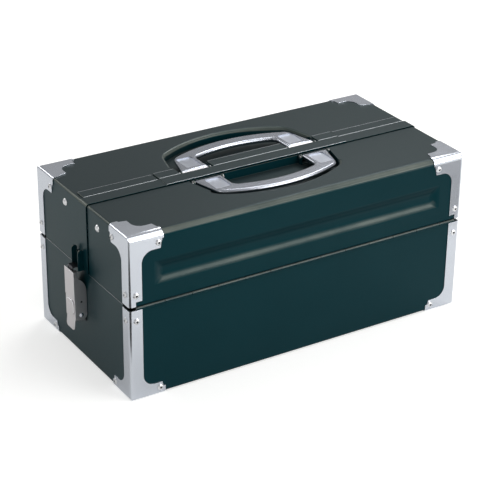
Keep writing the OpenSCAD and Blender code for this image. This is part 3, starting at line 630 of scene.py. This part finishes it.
class CASE_OT_shells(bpy.types.Operator):
    """Dresses the painted base and lids, and softens their pressed panels and handle recesses"""
    bl_idname = "case.shells"
    bl_label = "Shells"

    def execute(self, context):
        guide = rounded_guide(1 * MM)
        for node in ("base_shell", "front_lid_shell", "rear_lid_shell"):
            piece = solid_copy(node, node + "_dressed")
            if node != "base_shell":
                side = -1 if node.startswith("front") else 1
                self.soften_panel(piece, side)
                self.soften_recess(piece, side)
            round_edges(piece, sizes().sheet_edge, 2, 35)
            smooth(piece)
            borrow_shading(piece, guide)
            settle(piece, node)
            self.highlight_rim(piece, node)
        discard(guide)
        return {"FINISHED"}

    def highlight_rim(self, piece, node):
        """Lays bright steel on the up-facing edge faces along the base's rim at the ends, and along the rear
        lid's edge at the seam: painted highlight lines.
        """
        low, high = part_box(node)
        rim, seam = high.z - 1 * MM, low.y + 3 * MM
        if node == "base_shell":
            second_finish(piece, "highlight_steel", lambda c, n: c.z > rim and on_edge(n) and abs(n.x) > 0.3)
        elif node == "rear_lid_shell":
            second_finish(piece, "highlight_steel",
                          lambda c, n: c.z > rim and c.y < seam and on_edge(n) and n.y < -0.3)

    def soften_panel(self, piece, side):
        """Rounds the edges of the pressed panel on one wall."""
        wall = abs(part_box("front_lid_shell")[0].y)
        inside, outside = wall - 4 * MM, wall + 0.2 * MM
        middle, half_height, half_length = 146.5 * MM, 13.5 * MM, 184.5 * MM

        def in_panel(p):
            level = abs(p.z - middle) < half_height and abs(p.x) < half_length
            return level and inside < side * p.y < outside
        bevel_edges(piece, lambda p, q: in_panel(p) and in_panel(q), sizes().panel_blend, 5)

    def soften_recess(self, piece, side):
        """Rounds the sheet into the handle recess, away from the seam."""
        top, half_length = 194 * MM, 95 * MM
        inside, outside = 20 * MM, 85 * MM

        def on_rim(p):
            return abs(p.z - top) < NEAR and abs(p.x) < half_length and inside < side * p.y < outside
        bevel_edges(piece, lambda p, q: on_rim(p) and on_rim(q), sizes().recess_edge, 6)


class CASE_OT_seam(bpy.types.Operator):
    """Dresses the strips and blocks along the seam of the lids"""
    bl_idname = "case.seam"
    bl_label = "Seam strips"

    def execute(self, context):
        for node in ("rear_seam_strip_left", "rear_seam_strip_right", "rear_seam_blocks"):
            piece = self.strip(node)
            # Bright steel on the long edges that face up: painted highlight lines
            second_finish(piece, "highlight_steel", lambda c, n: on_edge(n) and abs(n.y) > 0.3)
        return {"FINISHED"}

    def strip(self, node):
        """One strip with rounded edges and, along its rear edge, a narrow border of bright steel on its top
        that is a painted highlight line.
        """
        piece = solid_copy(node, node + "_dressed")
        round_edges(piece, sizes().strip_edge, 3)
        select_where(piece, "FACE", lambda f: f.normal.z > LEVEL)
        bpy.ops.mesh.inset(thickness=sizes().strip_edge, use_individual=True)
        leave()
        smooth(piece)
        settle(piece, node)
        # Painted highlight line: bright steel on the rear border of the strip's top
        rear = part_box(node)[1].y - 2 * sizes().strip_edge
        second_finish(piece, "highlight_steel", lambda c, n: n.z > LEVEL and c.y > rear)
        return piece


class CASE_OT_corners(bpy.types.Operator):
    """Dresses the plated corner plates"""
    bl_idname = "case.corners"
    bl_label = "Corner plates"

    def execute(self, context):
        guide = rounded_guide(0)
        for node in sorted(frame["nodes"]):
            if "_corner_" in node and "rivets" not in node:
                piece = solid_copy(node, node + "_dressed")
                round_edges(piece, sizes().plate_edge, 2)
                smooth(piece)
                borrow_shading(piece, guide)
                settle(piece, node)
        discard(guide)
        return {"FINISHED"}


class CASE_OT_rivets(bpy.types.Operator):
    """Models one blind rivet and sets a copy on each rivet's seat, and dresses the plain rivets"""
    bl_idname = "case.rivets"
    bl_label = "Rivets"

    def execute(self, context):
        head = self.model()
        for node in sorted(frame["nodes"]):
            if node.endswith("_corner_rivets"):
                self.set_rivets(head, node)
            elif node.endswith("_rivets"):
                dress(node, 0, finish="rivet_heads")
        discard(head)
        return {"FINISHED"}

    def model(self):
        """A flanged dome with the hole of its drawn mandrel, standing along Z on its seat."""
        size = sizes()
        bpy.ops.object.select_all(action="DESELECT")
        bpy.ops.mesh.primitive_circle_add(vertices=32, radius=size.rivet_radius, fill_type="NGON")
        head = bpy.context.object
        edit(head, "FACE")
        bpy.ops.mesh.select_all(action="SELECT")
        # Each step lifts the head by a share of its height, and narrows it to a share of its radius
        steps = ((1, 0.3), (0.94, 0.14), (0.76, 0.28), (0.55, 0.18), (0.4, 0.1))
        bore_depth = 0.8 * size.rivet_height
        last = 1
        for share, lift in steps:
            rise = (0, 0, lift * size.rivet_height)
            bpy.ops.mesh.extrude_region_move(TRANSFORM_OT_translate={"value": rise})
            bpy.ops.transform.resize(value=(share / last, share / last, 1))
            last = share
        bpy.ops.mesh.inset(thickness=size.rivet_lip)
        bpy.ops.mesh.extrude_region_move(TRANSFORM_OT_translate={"value": (0, 0, -bore_depth)})
        leave()
        # The bore's floor gets the near-black of painted shade
        bore_shade = max(head.data.polygons, key=lambda f: (len(f.vertices), f.normal.z))
        head.data.materials.append(finish_for("rivet_heads"))
        head.data.materials.append(finish_for("rivet_bores"))
        bore_shade.material_index = 1
        smooth(head, 40)
        return head

    def set_rivets(self, head, node):
        """Copies of the head on the seats of one node's rivets, joined into the piece that stands for it."""
        copies = []
        for seat, out in self.seats(node):
            copy = bpy.data.objects.new(node + "_head", head.data.copy())
            copy.matrix_world = Matrix.Translation(seat) @ out.to_track_quat("Z", "Y").to_matrix().to_4x4()
            bpy.context.scene.collection.objects.link(copy)
            copies.append(copy)
        pick(*copies)
        bpy.ops.object.transform_apply(location=True, rotation=True, scale=True)
        bpy.ops.object.join()
        piece = bpy.context.object
        piece.name = node + "_dressed"
        stand_for(piece, node)

    def seats(self, node):
        """Where each rivet of a node sits, and which way it points."""
        block = solid_copy(node, node + "_block")
        edit(block, "VERT")
        bpy.ops.mesh.select_all(action="SELECT")
        bpy.ops.mesh.separate(type="LOOSE")
        leave()
        parts = list(bpy.context.selected_objects)
        seats = []
        for part in parts:
            points = [v.co for v in part.data.vertices]
            low = Vector([min(p[i] for p in points) for i in range(3)])
            high = Vector([max(p[i] for p in points) for i in range(3)])
            axis = min(range(3), key=lambda i: high[i] - low[i])
            middle = (low + high) / 2
            out = Vector((0, 0, 0))
            out[axis] = 1 if middle[axis] > 0 else -1
            seats.append((middle - out * (high[axis] - low[axis]) / 2, out))
        discard(*parts)
        return seats


class CASE_OT_hinges(bpy.types.Operator):
    """Dresses the piano hinges"""
    bl_idname = "case.hinges"
    bl_label = "Hinges"

    def execute(self, context):
        for side in ("front", "rear"):
            pin = side + "_hinge_pin"
            dress(pin, sizes().pin_edge, 1)
            low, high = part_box(pin)
            axis = (low + high) / 2
            # The knuckles lie within three radii of the pin
            reach = 3 * (high.z - low.z) / 2

            def on_crest(c, n):
                knuckle = math.hypot(c.y - axis.y, c.z - axis.z) < reach
                return knuckle and 0.5 < n.z < 0.64 and n.y * axis.y > 0
            for leaf in (side + "_hinge_base_leaf", side + "_hinge_lid_leaf"):
                piece = dress(leaf, sizes().pin_edge, 1)
                # Steel is laid on a narrow up-facing facet of the knuckles' crest: a painted highlight line
                second_finish(piece, "dark_steel", on_crest)
        return {"FINISHED"}


class CASE_OT_handles(bpy.types.Operator):
    """Dresses the folding handles, with a rolled rim and stippled pads, and their brackets and pins"""
    bl_idname = "case.handles"
    bl_label = "Handles"

    def execute(self, context):
        for end in ("front", "rear"):
            self.handle(end + "_handle")
            dress(end + "_handle_brackets", sizes().bracket_edge, 2)
            dress(end + "_handle_pins", sizes().pin_edge, 2)
        return {"FINISHED"}

    def handle(self, node):
        """A plate of the solid's outline with a rolled rim, and a pad sunk into each foot."""
        solid = solid_copy(node, node + "_solid")
        low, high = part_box(node)
        pads = self.pad_boxes(solid, high.z)
        piece = self.rolled_plate(solid, node, low, high, pads)
        for corner_low, corner_high in pads:
            self.sink_pad(piece, corner_low, corner_high)
        floor = pads[0][0].z
        discard(solid)
        smooth(piece, 30)
        settle(piece, node)
        second_finish(piece, "handle_pads", lambda c, n: n.z > 0.9 and abs(c.z - floor) < 0.1 * MM)

    def pad_boxes(self, solid, top):
        """The lowest and highest corners of the pocket in each foot, up to the top of the handle."""
        shallow, deep = 0.3 * MM, 2 * MM
        boxes = []
        for side in (-1, 1):
            points = [solid.data.vertices[i].co for f in solid.data.polygons for i in f.vertices
                      if f.normal.z > 0.9 and shallow < top - f.center.z < deep and side * f.center.x > 0]
            if not points:
                raise RuntimeError("no pocket in the handle's foot")
            boxes.append((Vector([min(p[i] for p in points) for i in range(3)]),
                          Vector([max(p[i] for p in points) for i in range(2)] + [top])))
        return boxes

    def rolled_plate(self, solid, node, low, high, pads):
        """The outline of the handle's top as a flat filled curve with round edges, made a mesh."""
        half = (high.z - low.z) / 2
        shared = {}
        for f in solid.data.polygons:
            if f.normal.z > LEVEL and high.z - f.center.z < 0.005 * MM:
                for key in f.edge_keys:
                    shared[key] = shared.get(key, 0) + 1

        def in_pad(p):
            return any(a.x - NEAR < p.x < b.x + NEAR and a.y - NEAR < p.y < b.y + NEAR for a, b in pads)

        def on_outline(e):
            return shared.get(e.key) == 1 and not all(in_pad(solid.data.vertices[i].co) for i in e.vertices)
        select_where(solid, "EDGE", on_outline)
        bpy.ops.mesh.duplicate()
        bpy.ops.mesh.separate(type="SELECTED")
        leave()
        piece = next(o for o in bpy.context.selected_objects if o is not solid)
        piece.name = node + "_dressed"
        pick(piece)
        bpy.ops.object.convert(target="CURVE")
        outline = piece.data
        if len(outline.splines) != 1 or not outline.splines[0].use_cyclic_u:
            raise RuntimeError("the handle's outline isn't one closed loop")
        rim = sizes().handle_rim
        outline.dimensions = "2D"
        outline.fill_mode = "BOTH"
        outline.extrude, outline.bevel_depth, outline.offset = half - rim, rim, -rim
        outline.bevel_resolution = 4
        bpy.ops.object.convert(target="MESH")
        piece.location.z = (low.z + high.z) / 2
        bpy.ops.object.transform_apply(location=True, rotation=True, scale=True)
        edit(piece, "FACE")
        bpy.ops.mesh.select_all(action="SELECT")
        bpy.ops.mesh.remove_doubles(threshold=0.01 * MM)
        bpy.ops.mesh.normals_make_consistent(inside=False)
        bpy.ops.mesh.dissolve_limited(angle_limit=FLAT_ANGLE)
        leave()
        return piece

    def sink_pad(self, piece, low, high):
        """Sinks one pad's pocket into the plate, with rounded corners."""
        clear_of_top = Vector((0, 0, 2 * MM))
        cutter = block(low, high + clear_of_top)
        bevel_edges(cutter, lambda p, q: abs(p.z - q.z) > 1 * MM, sizes().pocket_corner, 4)
        apply(piece, "BOOLEAN", object=cutter, operation="DIFFERENCE", solver="EXACT")
        discard(cutter)


class CASE_OT_latches(bpy.types.Operator):
    """Dresses the latches: bracket, pin, lever, hook, spring and keeper"""
    bl_idname = "case.latches"
    bl_label = "Latches"

    def execute(self, context):
        for end in ("left", "right"):
            for part in ("bracket", "pin", "hook", "hook_pin"):
                dress(end + "_latch_" + part, sizes().part_edge, 2)
            # The keeper's small steps leave room for a finer edge only
            dress(end + "_latch_keeper", sizes().keeper_edge, 1)
            dress(end + "_latch_spring", 0)
            self.lever(end + "_latch_lever")
        return {"FINISHED"}

    def lever(self, node):
        """The lever's folded sheet, its top drawn up and its outer edges rounded, and its thumb pad."""
        piece = solid_copy(node, node + "_dressed")
        low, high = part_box(node)
        face = max(abs(low.x), abs(high.x))
        skin, top_fold, mostly = 2.2 * MM, 2 * MM, 0.7

        def outer(p):
            return abs(abs(p.x) - face) < skin

        def side(p):
            return min(abs(p.y - low.y), abs(p.y - high.y)) < NEAR

        def crown(p):
            return abs(p.z - high.z) < NEAR

        def folded(p, q):
            along = (p - q).normalized()
            upright = side(p) and side(q) and abs(along.z) > mostly
            across = crown(p) and crown(q) and abs(along.y) > mostly
            return outer(p) and outer(q) and (upright or across)
        select_where(piece, "VERT", lambda v: v.co.z > high.z - top_fold)
        bpy.ops.transform.translate(value=(0, 0, sizes().lever_lift))
        leave()
        high.z += sizes().lever_lift
        bevel_edges(piece, folded, sizes().lever_edge, 3, clamp=True)
        round_edges(piece, sizes().part_edge, 2, 40)
        smooth(piece, 35)
        pad = self.thumb_pad(low, high)
        pick(piece, pad)
        bpy.ops.object.join()
        settle(piece, node)
        # Bright aluminium on the rounded outer edges that don't face down: painted highlights
        second_finish(piece, "rivet_heads",
                      lambda c, n: 0.25 < abs(n.x) < 0.97 and outer(c) and n.z > -0.2)

    def thumb_pad(self, low, high):
        """The pad pressed out of the lever's lower half, with rounded corners and edges."""
        size = sizes()
        outward = -1 if low.x < 0 else 1
        face = low.x if low.x < 0 else high.x
        wide, deep = high.y - low.y - 2 * size.pad_margin, 2 * size.pad_rise
        middle = Vector((face - outward * size.pad_rise, (low.y + high.y) / 2, low.z + size.pad_middle))
        half = Vector((deep, wide, size.pad_height)) / 2
        pad = block(middle - half, middle + half)
        bevel_edges(pad, lambda p, q: abs(p.x - q.x) > deep / 2, size.pad_corner, 6)
        front = middle.x + outward * deep / 2
        near = 0.01 * MM
        bevel_edges(pad, lambda p, q: abs(p.x - front) < near and abs(q.x - front) < near, size.pad_edge, 3)
        smooth(pad, 40)
        return pad


class CASE_OT_trays(bpy.types.Operator):
    """Dresses the trays, their arms, pins and studs"""
    bl_idname = "case.trays"
    bl_label = "Trays"

    def execute(self, context):
        for node in sorted(frame["nodes"]):
            if "tray" in node and not node.endswith("_rivets"):
                dress(node, sizes().part_edge, 2)
        return {"FINISHED"}


STEPS = (CASE_OT_stage, CASE_OT_shells, CASE_OT_seam, CASE_OT_corners, CASE_OT_rivets,
         CASE_OT_hinges, CASE_OT_handles, CASE_OT_latches, CASE_OT_trays)


class CASE_PT_panel(bpy.types.Panel):
    """Lists the steps that dress the case"""
    bl_label = "Tool Case"
    bl_idname = "CASE_PT_panel"
    bl_space_type = "VIEW_3D"
    bl_region_type = "UI"
    bl_category = "Tool Case"

    def draw(self, context):
        for step in STEPS:
            self.layout.operator(step.bl_idname)
        for group in (context.scene.case_sizes, context.scene.case_colours):
            for name in group.__annotations__:
                self.layout.prop(group, name)


CLASSES = (CaseColours, CaseSizes, *STEPS, CASE_PT_panel)


def register():
    for kind in CLASSES:
        bpy.utils.register_class(kind)
    bpy.types.Scene.case_colours = bpy.props.PointerProperty(type=CaseColours)
    bpy.types.Scene.case_sizes = bpy.props.PointerProperty(type=CaseSizes)


def unregister():
    del bpy.types.Scene.case_sizes
    del bpy.types.Scene.case_colours
    for kind in reversed(CLASSES):
        bpy.utils.unregister_class(kind)


def main():
    register()
    for step in STEPS:
        group, name = step.bl_idname.split(".")
        getattr(getattr(bpy.ops, group), name)()


if __name__ == "__main__":
    main()
